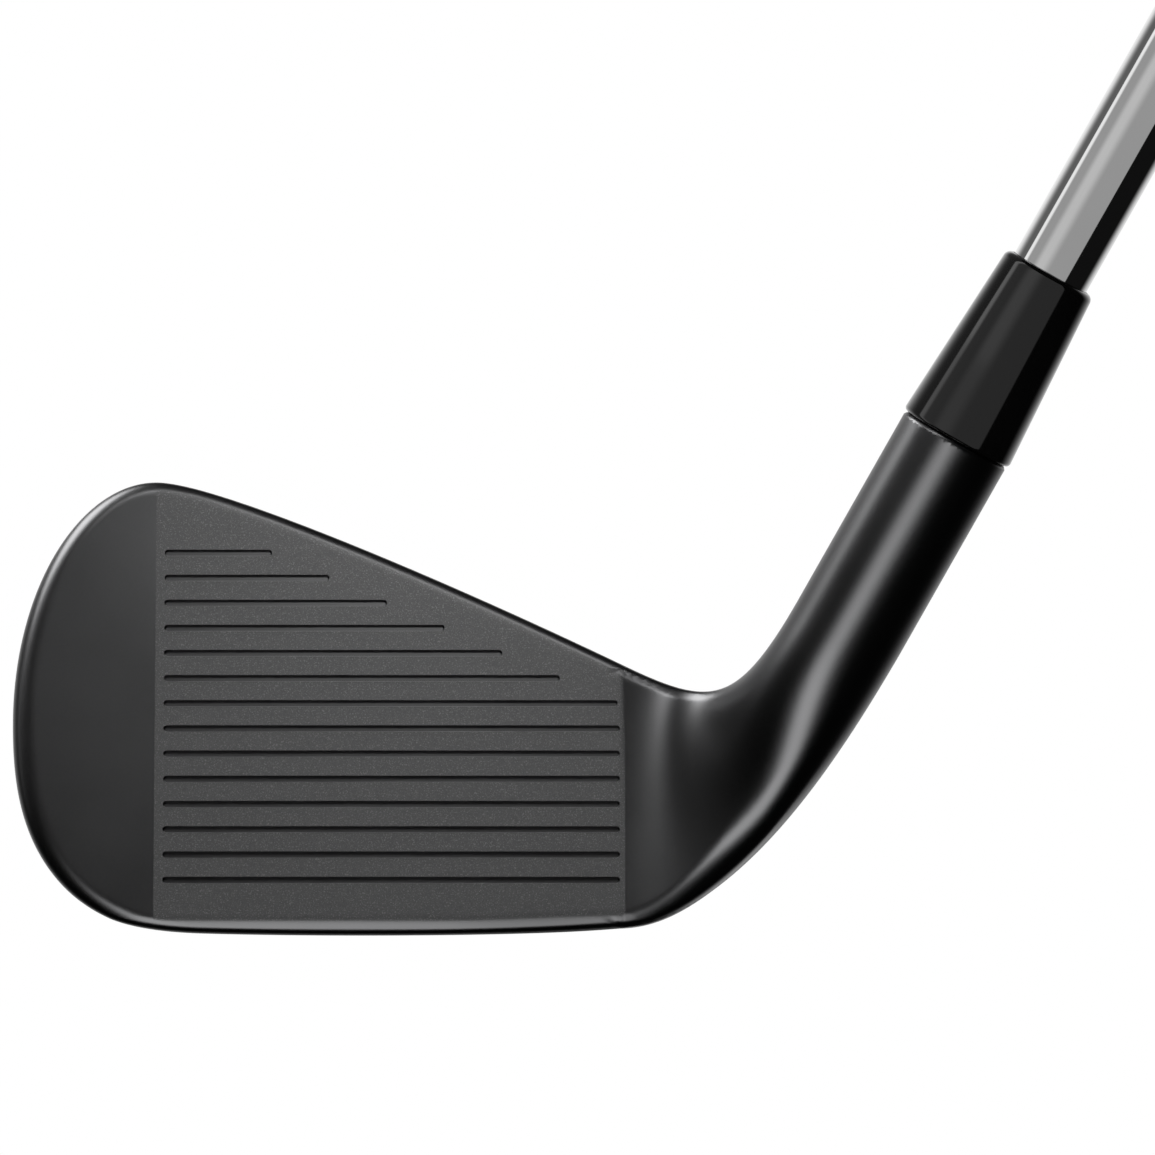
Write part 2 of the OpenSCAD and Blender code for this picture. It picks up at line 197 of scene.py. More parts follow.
class HeadShape:
    """The head's outer surface as a distance, negative inside, in millimetres."""

    lead_y, lead_z = -3.35, 1.3
    sole_width, trail_z = 19, 2.6
    toe_x, toe_z, toe_waist, toe_reach = -76, 52.6, 26, 16.3
    heel_top = (-5.1, 31.8)
    thin, thick, shelf_low, shelf_high = 5.6, 10, 21, 26
    hosel_r, hosel_s, round_s = 6.65, 67, 42
    fan_x, heel_low = -5.7, 1.8
    lead_roll, toe_roll, foot_roll, heel_roll = 0.5, 0.9, 0.7, 8

    def __init__(self, sizes):
        self.edge_r, self.back_r = sizes.edge_radius / MM, sizes.back_radius / MM
        self.sin, self.cos = math.sin(math.radians(sizes.loft)), math.cos(math.radians(sizes.loft))
        self.axis = np.array((AXIS.x, AXIS.z))
        self.side = np.array((-AXIS.z, AXIS.x))
        self.make_outline()
        self.make_fan()

    def make_outline(self):
        """The front outline as a radius for each angle about a centre."""
        tx, tz = self.heel_top
        slope = math.tan(math.radians(25))
        crest = self.toe_x + self.toe_reach
        t = np.linspace(0, 1, 160, endpoint=False)
        top = bezier([(tx, tz), (tx - 20, tz + 20 * slope), (crest + 7, self.toe_z), (crest, self.toe_z)], t)
        a = np.radians(90 + 90 * t)
        toe = np.stack([crest + self.toe_reach * np.cos(a),
                        self.toe_waist + (self.toe_z - self.toe_waist) * np.sin(a)], 1)
        low = bezier([(self.toe_x, self.toe_waist), (self.toe_x, self.toe_waist - 17),
                      (self.toe_x + 6.6, 1.55), (self.toe_x + 22, 0.65)], t)
        sole = bezier([(self.toe_x + 22, 0.65), (self.toe_x + 37, -0.25), (-17.7, 0), (-4.7, 1.7)], t)
        ends = np.array([(tx + 20, tz - 20 * slope), (tx + 1, tz - slope)])
        outline = np.concatenate([[(15, 4.5)], ends, top, toe, low, sole])
        self.centre = np.array((-42, 24))
        arm = outline - self.centre
        angle, radius = np.unwrap(np.arctan2(arm[:, 1], arm[:, 0])), np.hypot(arm[:, 0], arm[:, 1])
        self.turns = np.linspace(angle[0], angle[0] + 2 * math.pi, 6000)
        self.radii = np.interp(self.turns, np.append(angle, angle[0] + 2 * math.pi), np.append(radius, radius[0]))
        lean = np.gradient(self.radii, self.turns) / self.radii
        self.leans = 1 / np.sqrt(1 + lean ** 2)

    def make_fan(self):
        """Lines across the heel, from its outer edge to its crotch, that turn into the hosel's sections."""
        end = self.round_s * self.axis
        crotch_start, edge_start = np.array((self.fan_x, 32.08)), np.array((self.fan_x, self.heel_low))
        crotch_end, edge_end = end + self.hosel_r * self.side, end - self.hosel_r * self.side
        t = np.linspace(0, 1, 241)
        self.crotch = bezier([crotch_start, crotch_start + (10, -5.0), crotch_end - 15 * self.axis, crotch_end], t)
        self.edge = bezier([edge_start, edge_start + (12.7, 0.1), edge_end - 16 * self.axis - (0.6, 0.6), edge_end], t)
        self.fan_mid = (crotch_start[1] + edge_start[1]) / 2
        self.fan_half = (crotch_start[1] - edge_start[1]) / 2
        self.depth_mid = self.lead_y + 12

    def outline_gap(self, x, z):
        dx, dz = x - self.centre[0], z - self.centre[1]
        angle, radius = np.arctan2(dz, dx), np.hypot(dx, dz)
        angle = np.where(angle < self.turns[0], angle + 2 * math.pi, angle)
        return (radius - np.interp(angle, self.turns, self.radii)) * np.interp(angle, self.turns, self.leans)

    def face_place(self, y, z):
        """Depth behind the face, and distance up it."""
        dy, dz = y - self.lead_y, z - self.lead_z
        return dy * self.cos - dz * self.sin, dy * self.sin + dz * self.cos

    def face_point(self, n, v):
        return np.array((self.lead_y + n * self.cos + v * self.sin, self.lead_z + v * self.cos - n * self.sin))

    @staticmethod
    def plane_gap(y, z, a, b):
        """Distance beyond the line from a to b, on its left."""
        along = (b - a) / np.hypot(*(b - a))
        return (y - a[0]) * -along[1] + (z - a[1]) * along[0]

    def blade(self, x, y, z, roll=0.0):
        """Distance outside the blade. roll widens the rounding between the face and the sole."""
        n, v = self.face_place(y, z)
        u = (y - self.lead_y) / self.sole_width
        camber = np.where(u < 0.5, self.lead_z * (1 - 2 * u) ** 2, self.trail_z * (2 * u - 1) ** 2)
        camber = np.where(u < 0, self.lead_z * (1 - 4 * u), camber)
        sole = (camber - z) * 0.97
        on_face = self.lead_z + v * self.cos
        outline = self.outline_gap(x, z + (on_face - z) * smooth_step((z - 7) / 16))
        corner = self.face_point(self.thick, self.shelf_low)
        muscle_back = self.plane_gap(y, z, corner, np.array((self.lead_y + self.sole_width, self.trail_z)))
        shelf = self.plane_gap(y, z, self.face_point(self.thin, self.shelf_high), corner)
        back = smooth_min(n - self.thin, round_max(muscle_back, shelf, 1.4), 2.5)
        edge = self.edge_r + self.toe_roll * smooth_step((self.toe_x + 22 - x) / 18)
        lead = round_max(-n, sole, self.edge_r + self.lead_roll + roll)
        front = round_max(lead, outline, edge)
        return round_max(front, back, self.back_r)

    @staticmethod
    def turn(t):
        """How far a fan line's section has turned from the blade's into the hosel's."""
        return t ** 3 * (6 * t * t - 15 * t + 10)

    def fan_place(self, x, z):
        """How far round the fan a point lies, and its rise from -1 at the heel's edge to 1 at the crotch."""
        across = self.crotch - self.edge
        side = (across[:, 0] * (z[:, None] - self.edge[:, 1]) - across[:, 1] * (x[:, None] - self.edge[:, 0])) < 0
        last = len(across) - 1
        i = np.clip(side.sum(1) - 1, 0, last - 1)
        def gap(k):
            return across[k, 0] * (z - self.edge[k, 1]) - across[k, 1] * (x - self.edge[k, 0])
        a, b = gap(i), gap(i + 1)
        part = np.clip(a / np.where(np.abs(a - b) < 1e-9, 1e-9, a - b), 0, 1)
        low = self.edge[i] + (self.edge[i + 1] - self.edge[i]) * part[:, None]
        line = across[i] + (across[i + 1] - across[i]) * part[:, None]
        length = np.hypot(line[:, 0], line[:, 1])
        rise = ((x - low[:, 0]) * line[:, 0] + (z - low[:, 1]) * line[:, 1]) / length ** 2 * 2 - 1
        return (i + part) / last, rise, length / 2

    def gap(self, p):
        """Distance outside the whole head's surface, for an array of points."""
        x, y, z = p[:, 0], p[:, 1], p[:, 2]
        along = x * self.axis[0] + z * self.axis[1]
        out = np.empty(len(p))
        hosel = (along > self.round_s) & (x > self.fan_x)
        flat = x <= self.fan_x
        heel = ~hosel & ~flat
        foot = self.foot_roll * smooth_step((x[flat] - self.fan_x) / 20 + 1)
        out[flat] = self.blade(x[flat], y[flat], z[flat], foot)
        xh, yh, zh = x[hosel], y[hosel], z[hosel]
        off = xh * self.side[0] + zh * self.side[1]
        out[hosel] = np.maximum(np.hypot(off, yh) - self.hosel_r, along[hosel] - self.hosel_s - 1)
        xh, yh, zh = x[heel], y[heel], z[heel]
        t, rise, half = self.fan_place(xh, zh)
        turn = self.turn(t)
        blade = self.blade(np.full(len(xh), self.fan_x), yh + self.depth_mid * turn,
                           self.fan_mid + rise * self.fan_half, self.foot_roll + self.heel_roll * smooth_step(t / 0.5))
        ring = (np.hypot((yh - self.depth_mid * (1 - turn)) / self.hosel_r, rise) - 1) * self.hosel_r
        out[heel] = (1 - turn) * blade * half / self.fan_half + turn * ring
        return out

    def pull(self, p, steps=5, limit=0.8):
        """Points moved onto the surface, each along the distance's slope."""
        h = 0.02
        for _ in range(steps):
            f = self.gap(p)
            g = np.stack([self.gap(p + h * e) - f for e in np.eye(3)], 1) / h
            move = f[:, None] * g / np.maximum((g * g).sum(1), 0.05)[:, None]
            size = np.linalg.norm(move, axis=1)[:, None]
            p = p - move * np.minimum(1, limit / np.maximum(size, 1e-9))
        return p


# ---- Shader nodes -------------------------------------------------------------------------


class Value:
    """A number that changes over a surface. Arithmetic on it adds Math nodes."""

    def __init__(self, tree, socket):
        self.tree, self.socket = tree, socket

    def math(self, operation, *values):
        return self.tree.math(operation, *values)

    def __add__(self, other):
        return self.math("ADD", self, other)

    def __radd__(self, other):
        return self.math("ADD", other, self)

    def __sub__(self, other):
        return self.math("SUBTRACT", self, other)

    def __rsub__(self, other):
        return self.math("SUBTRACT", other, self)

    def __mul__(self, other):
        return self.math("MULTIPLY", self, other)

    def __rmul__(self, other):
        return self.math("MULTIPLY", other, self)

    def __truediv__(self, other):
        return self.math("DIVIDE", self, other)

    def __pow__(self, other):
        return self.math("POWER", self, other)

    def clamp(self):
        return self.math("MINIMUM", self.math("MAXIMUM", self, 0), 1)

    def between(self, low, high):
        """0 below low, 1 above high, smooth in between. low may be the larger one."""
        if low > high:
            return 1 - self.between(high, low)
        return self.tree.node("ShaderNodeMapRange", {"interpolation_type": "SMOOTHSTEP"}, self, low, high)


class Tree:
    """Adds nodes to a material's or the world's node tree."""

    def __init__(self, nodes):
        self.nodes, self.links = nodes.nodes, nodes.links
        self.nodes.clear()

    def put(self, socket, value):
        if isinstance(value, Value):
            self.links.new(value.socket, socket)
        elif isinstance(value, tuple) and len(value) == 3 and socket.type == "RGBA":
            socket.default_value = (*value, 1)
        else:
            socket.default_value = value

    def node(self, kind, settings=None, *values, output=0, **named):
        """A node's output. Values go to its sockets in order, named ones to sockets of that name."""
        node = self.nodes.new(kind)
        for key, value in (settings or {}).items():
            setattr(node, key, value)
        for socket, value in zip(node.inputs, values):
            self.put(socket, value)
        for key, value in named.items():
            self.put(node.inputs[key.replace("_", " ")], value)
        return None if output is None else Value(self, node.outputs[output])

    def mix(self, factor, a, b):
        """A colour between two colours."""
        node = self.nodes.new("ShaderNodeMix")
        node.data_type = "RGBA"
        self.put(node.inputs["Factor"], factor)
        self.put(node.inputs[6], a)
        self.put(node.inputs[7], b)
        return Value(self, node.outputs[2])

    def math(self, operation, *values):
        return self.node("ShaderNodeMath", {"operation": operation}, *values)

    def principled(self, sockets, **constants):
        return self.node("ShaderNodeBsdfPrincipled", {}, **sockets, **constants)

    def finish(self, kind, shader):
        """Adds the output node."""
        self.node(kind, {}, shader, output=None)

    def place(self):
        return self.node("ShaderNodeTexCoord", output="Object")

    def turned_place(self):
        """Object coordinates turned so that Z runs up the shaft's axis."""
        lean = math.atan2(AXIS.x, AXIS.z)
        node = self.nodes.new("ShaderNodeMapping")
        node.vector_type = "TEXTURE"
        node.inputs["Rotation"].default_value = (0, lean, 0)
        self.put(node.inputs["Vector"], self.place())
        return Value(self, node.outputs[0])

    def stretched(self, place, scale):
        return self.node("ShaderNodeMapping", {}, place, Scale=scale)

    def noise(self, place, size, detail=2.0, roughness=0.5):
        """Noise from 0 to 1 whose features are about size metres across."""
        return self.node("ShaderNodeTexNoise", {}, Vector=place, Scale=1 / size, Detail=detail, Roughness=roughness)

    def cells(self, place, size):
        return self.node("ShaderNodeTexVoronoi", {}, Vector=place, Scale=1 / size)

    def part(self, vector, axis):
        return self.node("ShaderNodeSeparateXYZ", {}, vector, output=axis)

    def bump(self, height, distance, strength=1.0):
        return self.node("ShaderNodeBump", {}, Strength=strength, Distance=distance, Height=height)


def light_and_dark(color, spread):
    """A darker and a lighter colour round one."""
    color = tuple(color)
    return tuple(c * (1 - spread) for c in color), tuple(min(1, c * (1 + spread)) for c in color)


def finish_material(name, build, **constants):
    """A material whose Principled shader takes the sockets that build returns, and the given constants."""
    material = bpy.data.materials.get(name) or bpy.data.materials.new(name)
    material.use_nodes = True
    tree = Tree(material.node_tree)
    tree.finish("ShaderNodeOutputMaterial", tree.principled(build(tree), **constants))
    return material


def satin_look(tree, color):
    """Sockets of black coated steel: a soft sheen, a fine grain and faint cloudiness from handling."""
    place = tree.place()
    grain = tree.noise(place, 0.00025, 3)
    cloud = tree.noise(place, 0.012, 3)
    dark, light = light_and_dark(color, 0.14)
    return {"Base_Color": tree.mix(cloud * 0.6 + grain * 0.4, dark, light),
            "Roughness": 0.27 + grain * 0.07 + cloud * 0.06,
            "Normal": tree.bump(grain, 0.000002, 0.5)}


def blasted_look(tree, color):
    """Sockets of steel blasted to a fine grain, with painted glints: random bright spots in the base colour that stand
    in for the grain's sparkle.
    """
    place = tree.place()
    fine = tree.noise(place, 0.00018, 2, 0.7)
    coarse = tree.noise(place, 0.0006, 2)
    # painted glints: random spots where the base colour is lifted towards white, standing in for light glinting off
    # the blasted grain
    painted_glint = tree.noise(place, 0.00015, 1).between(0.54, 0.74)
    dark, light = light_and_dark(color, 0.34)
    shade = tree.mix(fine * 0.75 + coarse * 0.25, dark, light)
    return {"Base_Color": tree.mix(painted_glint * 0.45, shade, tuple(min(1, 2.6 * c) for c in color)),
            "Roughness": 0.46 + fine * 0.14,
            "Normal": tree.bump(fine, 0.00002, 0.6)}


def satin_steel(color):
    return finish_material("satin_black_steel", lambda tree: satin_look(tree, color), Metallic=1)


def blasted_steel(color, edge_color, shape):
    """The face's blasted flat, and the satin coating on the rolled edges round it."""
    material = bpy.data.materials.new("blasted_steel")
    material.use_nodes = True
    tree = Tree(material.node_tree)
    flat = tree.principled(blasted_look(tree, color), Metallic=1)
    edge = tree.principled(satin_look(tree, edge_color), Metallic=1)
    place = tree.place()
    depth = ((tree.part(place, "Y") - shape.lead_y * MM) * shape.cos
             - (tree.part(place, "Z") - shape.lead_z * MM) * shape.sin)
    rolled = depth.between(0.03 * MM, 0.1 * MM) * depth.between(1.8 * MM, 1.5 * MM)
    tree.finish("ShaderNodeOutputMaterial", tree.node("ShaderNodeMixShader", {}, rolled, flat, edge))
    return material


def chrome_plate(color):
    """Mirror plating with faint drawn lines along the shaft."""
    def build(tree):
        place = tree.turned_place()
        lines = tree.noise(tree.stretched(place, (1, 1, 0.02)), 0.0003, 2)
        smudge = tree.noise(place, 0.02, 3).between(0.45, 0.75)
        dark, light = light_and_dark(color, 0.03)
        return {"Base_Color": tree.mix(smudge, light, dark),
                "Roughness": 0.035 + smudge * 0.03 + lines * 0.02,
                "Normal": tree.bump(lines, 0.0000004, 0.3)}
    return finish_material("chrome_plate", build, Metallic=1)


def gloss_plastic(color):
    """Polished black plastic with hair lines round it from buffing."""
    def build(tree):
        place = tree.turned_place()
        rings = tree.noise(tree.stretched(place, (0.03, 0.03, 1)), 0.0002, 2)
        haze = tree.noise(place, 0.006, 2)
        dark, light = light_and_dark(color, 0.25)
        return {"Base_Color": tree.mix(haze, dark, light),
                "Roughness": 0.07 + rings * 0.035 + haze * 0.02,
                "Normal": tree.bump(rings, 0.0000004, 0.3)}
    return finish_material("gloss_plastic", build, IOR=1.5, Coat_Weight=0.4, Coat_Roughness=0.03)


def film(color):
    """Plain film with a fine weave and a light hair line near each end."""
    low, high = node_span("shaft_band")
    def build(tree):
        place = tree.turned_place()
        up = tree.part(place, "Z")
        grain = tree.noise(place, 0.0004, 2)
        line = sum_of([up.between(at - 0.0003, at) * up.between(at + 0.0006, at + 0.0003)
                       for at in (low + 0.004, high - 0.0043)])
        dark, light = light_and_dark(color, 0.15)
        return {"Base_Color": tree.mix(line, tree.mix(grain, dark, light), (0.5, 0.5, 0.5)),
                "Roughness": 0.32 + grain * 0.1,
                "Normal": tree.bump(grain, 0.000004, 0.4)}
    return finish_material("band_film", build)


def moulded_rubber(color):
    """Matt rubber, a little lighter and smoother where it rubs."""
    def build(tree):
        place = tree.place()
        pores = tree.noise(place, 0.0003, 3, 0.6)
        wear = tree.noise(place, 0.018, 3)
        dark, light = light_and_dark(color, 0.35)
        return {"Base_Color": tree.mix(wear * 0.7 + pores * 0.3, dark, light),
                "Roughness": 0.72 - wear * 0.16 + pores * 0.1,
                "Normal": tree.bump(pores, 0.00003, 0.5)}
    return finish_material("moulded_rubber", build, Specular_IOR_Level=0.35)


def brushed_metal(color, name="brushed_metal"):
    """Metal brushed along the head."""
    def build(tree):
        place = tree.place()
        lines = tree.noise(tree.stretched(place, (0.015, 1, 1)), 0.00012, 3)
        cloud = tree.noise(place, 0.01, 2)
        dark, light = light_and_dark(color, 0.22)
        return {"Base_Color": tree.mix(lines, dark, light),
                "Roughness": 0.28 + lines * 0.12 + cloud * 0.05,
                "Normal": tree.bump(lines, 0.000003, 0.4)}
    return finish_material(name, build, Metallic=1)


def grainy(name, color, size, spread, rough, depth, **constants):
    """A plain material with a grain of one size: foam, tape, adhesive, sintered or machined metal."""
    def build(tree):
        place = tree.place()
        grain = tree.noise(place, size, 3)
        cell = tree.cells(place, size * 1.6)
        dark, light = light_and_dark(color, spread)
        return {"Base_Color": tree.mix(grain * 0.6 + cell * 0.4, dark, light),
                "Roughness": rough + grain * 0.12,
                "Normal": tree.bump(cell * 0.6 + grain * 0.4, depth, 0.5)}
    return finish_material(name, build, **constants)


def sum_of(values):
    total = values[0]
    for value in values[1:]:
        total = total + value
    return total


# ---- Modelling helpers --------------------------------------------------------------------


def clear_selection():
    if bpy.context.mode != "OBJECT":
        bpy.ops.object.mode_set(mode="OBJECT")
    bpy.ops.object.select_all(action="DESELECT")


def only(obj):
    clear_selection()
    obj.select_set(True)
    bpy.context.view_layer.objects.active = obj


def edit(obj, select="SELECT"):
    only(obj)
    bpy.ops.object.mode_set(mode="EDIT")
    bpy.ops.mesh.select_mode(type="VERT")
    bpy.ops.mesh.select_all(action=select)


def apply_modifier(obj, kind, **settings):
    only(obj)
    modifier = obj.modifiers.new(kind.title(), kind)
    for key, value in settings.items():
        setattr(modifier, key, value)
    bpy.ops.object.modifier_apply(modifier=modifier.name)


def cut(obj, tool, operation="DIFFERENCE", keep_tool=False):
    apply_modifier(obj, "BOOLEAN", object=tool, operation=operation, solver="MANIFOLD")
    if not len(obj.data.polygons):
        raise RuntimeError(f"nothing is left of {obj.name}")
    if not keep_tool:
        bpy.data.objects.remove(tool, do_unlink=True)


def copy_of(obj, name):
    other = obj.copy()
    other.data = obj.data.copy()
    other.name = name
    bpy.context.collection.objects.link(other)
    return other


def close_up(obj):
    """Merges doubles and turns every face outwards."""
    edit(obj)
    bpy.ops.mesh.remove_doubles(threshold=0.000001)
    bpy.ops.mesh.normals_make_consistent(inside=False)
    clear_selection()


def prism(name, points, push):
    """A closed prism: an outline of points pushed along a vector."""
    clear_selection()
    bpy.ops.mesh.primitive_circle_add(vertices=len(points), radius=1, fill_type="NGON")
    obj = bpy.context.object
    obj.name = name
    for vertex, point in zip(obj.data.vertices, points):
        vertex.co = point
    edit(obj)
    bpy.ops.mesh.extrude_region_move(TRANSFORM_OT_translate={"value": push})
    bpy.ops.mesh.select_all(action="SELECT")
    bpy.ops.mesh.normals_make_consistent(inside=False)
    clear_selection()
    return obj


def aim_matrix(direction):
    """A turn that takes +Z to a direction."""
    return Vector(direction).to_track_quat("Z", "Y").to_matrix().to_4x4()


def rod(name, radius, start, end, vertices=96):
    """A plain round bar between two points, used as a start or as a cutter."""
    start, end = Vector(start), Vector(end)
    clear_selection()
    bpy.ops.mesh.primitive_cylinder_add(vertices=vertices, radius=radius, depth=(end - start).length)
    obj = bpy.context.object
    obj.name = name
    obj.data.transform(Matrix.Translation((start + end) / 2) @ aim_matrix(end - start))
    return obj


def turned(name, profile, steps=96):
    """A closed profile of (radius, distance up the axis) spun round the shaft's axis."""
    clear_selection()
    bpy.ops.mesh.primitive_circle_add(vertices=len(profile), radius=1, fill_type="NOTHING")
    obj = bpy.context.object
    obj.name = name
    for vertex, (radius, up) in zip(obj.data.vertices, profile):
        vertex.co = (radius, 0, up)
    edit(obj)
    bpy.ops.mesh.spin(steps=steps, angle=2 * math.pi, center=(0, 0, 0), axis=(0, 0, 1), use_auto_merge=True)
    close_up(obj)
    obj.data.transform(Matrix.Rotation(math.atan2(AXIS.x, AXIS.z), 4, "Y"))
    return obj


def arc(centre, radius, start, end, count):
    """Points of an arc in (radius, up), with angles in degrees."""
    for i in range(count + 1):
        a = math.radians(start + (end - start) * i / count)
        yield centre[0] + radius * math.cos(a), centre[1] + radius * math.sin(a)


def smooth(obj, degrees=35):
    only(obj)
    bpy.ops.object.shade_smooth_by_angle(angle=math.radians(degrees))


def node_span(node):
    """Lowest and highest distance of a CAD node up the shaft's axis, in metres."""
    along = [AXIS.dot(v.co) for v in frame["nodes"][node].data.vertices]
    return min(along), max(along)


def node_reach(node, up, slack=0.0006):
    """Largest distance from the shaft's axis of a CAD node's points near a height up the axis."""
    points = [v.co for v in frame["nodes"][node].data.vertices]
    return max((p - AXIS * AXIS.dot(p)).length for p in points if abs(AXIS.dot(p) - up) < slack)


def light_group(name):
    """The collection of pieces that some of the lights are kept to."""
    return bpy.data.collections.get(name) or bpy.data.collections.new(name)


def finish_piece(obj, name, material, slot, *nodes):
    """Names a piece, gives it its finish, and lets it stand for its CAD nodes."""
    bright = slot in ("chrome", "ferrule_plastic", "band_film", "rubber")
    light_group("bright_pieces" if bright else "dark_pieces").objects.link(obj)
    obj.name = name
    obj.data.name = name
    obj.data.materials.clear()
    obj.data.materials.append(material)
    if nodes:
        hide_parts(*nodes)
    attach(obj, BODY)
    return obj


def dress_node(node, material):
    """Gives a CAD node that stays as it is a better finish."""
    obj = frame["nodes"][node]
    if not obj.material_slots:
        obj.data.materials.append(material)
    for place in obj.material_slots:
        place.material = material


# ---- Head ---------------------------------------------------------------------------------


def blade_start(shape):
    """A rough blade: the front outline's prism cut to the side profile."""
    outline = [(shape.centre[0] + r * math.cos(a), shape.centre[1] + r * math.sin(a))
               for a, r in zip(shape.turns[::40], shape.radii[::40])]
    lean = shape.sin / shape.cos
    front = [Vector((min(x, shape.fan_x), shape.lead_y + (z - shape.lead_z) * lean, z)) * MM for x, z in outline]
    push = Vector((0, shape.cos, -shape.sin)) * 60 * MM
    block = prism("blade_start", [p - push / 4 for p in front], push)
    side = [shape.face_point(0, 60), shape.face_point(0, 0), (shape.lead_y + shape.sole_width / 2, 0),
            (shape.lead_y + shape.sole_width, shape.trail_z), shape.face_point(shape.thick, shape.shelf_low),
            shape.face_point(shape.thin, shape.shelf_high), shape.face_point(shape.thin, 60)]
    bar = prism("side", [Vector((shape.toe_x - 4, y, z)) * MM for y, z in side], (90 * MM, 0, 0))
    cut(block, bar, "INTERSECT")
    return block


def heel_start(shape, rings=30, points=40):
    """Rings round the heel and hosel, each found on the surface from a point on the middle line, and bridged."""
    across = shape.crotch - shape.edge
    last = len(across) - 1
    stations = []
    for k in (round(i * last / rings) for i in range(rings + 1)):
        stations.append((shape.edge[k] + across[k] / 2, across[k] / np.hypot(*across[k]), k / last))
    stations += [(s * shape.axis, shape.side, 1.0) for s in (50, 60, shape.hosel_s + 0.9)]
    mesh = bmesh.new()
    for mid, up, t in stations:
        angle = np.arange(points) * 2 * math.pi / points
        way = np.stack([up[0] * np.sin(angle), np.cos(angle), up[1] * np.sin(angle)], 1)
        centre = np.array((mid[0], shape.depth_mid * (1 - shape.turn(t)), mid[1]))
        low, high = np.zeros(points), np.full(points, 26.0)
        for _ in range(18):
            half = (low + high) / 2
            inside = shape.gap(centre + way * half[:, None]) < 0
            low, high = np.where(inside, half, low), np.where(inside, high, half)
        ring = [mesh.verts.new(Vector(p) * MM) for p in centre + way * low[:, None]]
        for a, b in zip(ring, ring[1:] + ring[:1]):
            mesh.edges.new((a, b))
    data = bpy.data.meshes.new("heel_start")
    mesh.to_mesh(data)
    mesh.free()
    heel = bpy.data.objects.new("heel_start", data)
    bpy.context.collection.objects.link(heel)
    edit(heel)
    bpy.ops.mesh.bridge_edge_loops()
    bpy.ops.mesh.select_all(action="DESELECT")
    bpy.ops.mesh.select_non_manifold()
    bpy.ops.mesh.edge_face_add()
    clear_selection()
    return heel


def shape_head(shape, mesh_size):
    """The whole outer skin: a rough start remeshed evenly, then drawn onto the head's surface."""
    head = blade_start(shape)
    heel = heel_start(shape)
    only(head)
    heel.select_set(True)
    bpy.ops.object.join()
    head.data.remesh_voxel_size = mesh_size
    head.data.remesh_voxel_adaptivity = 0
    bpy.ops.object.voxel_remesh()
    relaxing = 2
    for round_ in range(relaxing + 1):
        points = np.empty(len(head.data.vertices) * 3)
        head.data.vertices.foreach_get("co", points)
        points = shape.pull(points.reshape(-1, 3) / MM, 4) * MM
        head.data.vertices.foreach_set("co", points.ravel())
        head.data.update()
        if round_ < relaxing:
            edit(head)
            bpy.ops.mesh.vertices_smooth(factor=0.5, repeat=2)
            clear_selection()
    return head


def plate_room(shape, thickness, slack=0.0):
    """The block that the face plate is cut from."""
    low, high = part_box("face_plate")
    lean = Vector((0, shape.cos, -shape.sin))
    up = Vector((0, shape.sin, shape.cos))
    foot = Vector((0, shape.lead_y, shape.lead_z)) * MM - lean * 8 * MM
    corners = [Vector((x, 0, 0)) + foot + up * v * MM for x, v in
               ((low[0], -20), (high[0], -20), (high[0], 70), (low[0], 70))]
    return prism("plate_room", corners, lean * (thickness + 8 * MM + slack))


def groove_end(z, heel_x, shape):
    """Where a groove at a height ends: on a line along the topline, or short of the plate's heel edge."""
    margin = 5
    slope = 1.11 * (shape.toe_z - shape.heel_top[1]) / (heel_x - shape.toe_x - shape.toe_reach)
    return min(heel_x - 0.6, heel_x - (z + margin - shape.heel_top[1]) / slope)


def groove_cutter(name, start, end, shape, sizes):
    """A bar with a tapering section and round ends: a cone whose one half is drawn out along the groove."""
    clear_selection()
    over = 0.25 * sizes.groove_depth
    spread = sizes.groove_width / 2
    bpy.ops.mesh.primitive_cone_add(vertices=24, radius1=spread * 0.6, radius2=spread * 1.1,
                                    depth=sizes.groove_depth + over, end_fill_type="NGON")
    tool = bpy.context.object
    tool.name = name
    for vertex in tool.data.vertices:
        vertex.co.z -= (sizes.groove_depth - over) / 2
        if vertex.co.x > 0.000001:
            vertex.co.x += (end[0] - start[0]) * MM
    out = Vector((0, -shape.cos, shape.sin))
    up = Vector((0, shape.sin, shape.cos))
    turn = Matrix((Vector((1, 0, 0)), up, out)).transposed().to_4x4()
    tool.data.transform(Matrix.Translation(Vector(start) * MM) @ turn)
    close_up(tool)
    return tool


def cut_grooves(plate, shape, sizes):
    low, high = (c[0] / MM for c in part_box("face_plate"))
    for i in range(sizes.groove_count):
        up = (sizes.groove_start + i * sizes.groove_pitch) / MM
        y, z = shape.face_point(0, up)
        spread = sizes.groove_width / 2 / MM
        start, end = low + 1 + spread, groove_end(z, high, shape) - spread
        cut(plate, groove_cutter("groove", (start, y, z), (end, y, z), shape, sizes))


def badge_outline(shape, inset=0.0):
    """The badge's rounded outline as (x, up the face), in millimetres."""
    low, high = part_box("badge")
    left, right = low[0] / MM + inset, high[0] / MM - inset
    foot = shape.shelf_high + 1.6 + inset
    corners = [(left + 0.0, foot), (right, foot), (right - 5 - inset, foot + 4.5 - inset),
               (left + 2, foot + 16 - 2.2 * inset)]
    points = []
    for i, here in enumerate(corners):
        here = Vector(here)
        before, after = Vector(corners[i - 1]), Vector(corners[(i + 1) % 4])
        a = here + (before - here).normalized() * 2.5
        b = here + (after - here).normalized() * 2.5
        points += [a.lerp(here, t).lerp(here.lerp(b, t), t) for t in (0, 0.2, 0.4, 0.6, 0.8, 1)]
    return points


def on_back(shape, points, depth):
    """Points given as (x, up the face), placed at a depth behind the face."""
    return [Vector((x, *shape.face_point(depth, v))) * MM for x, v in points]


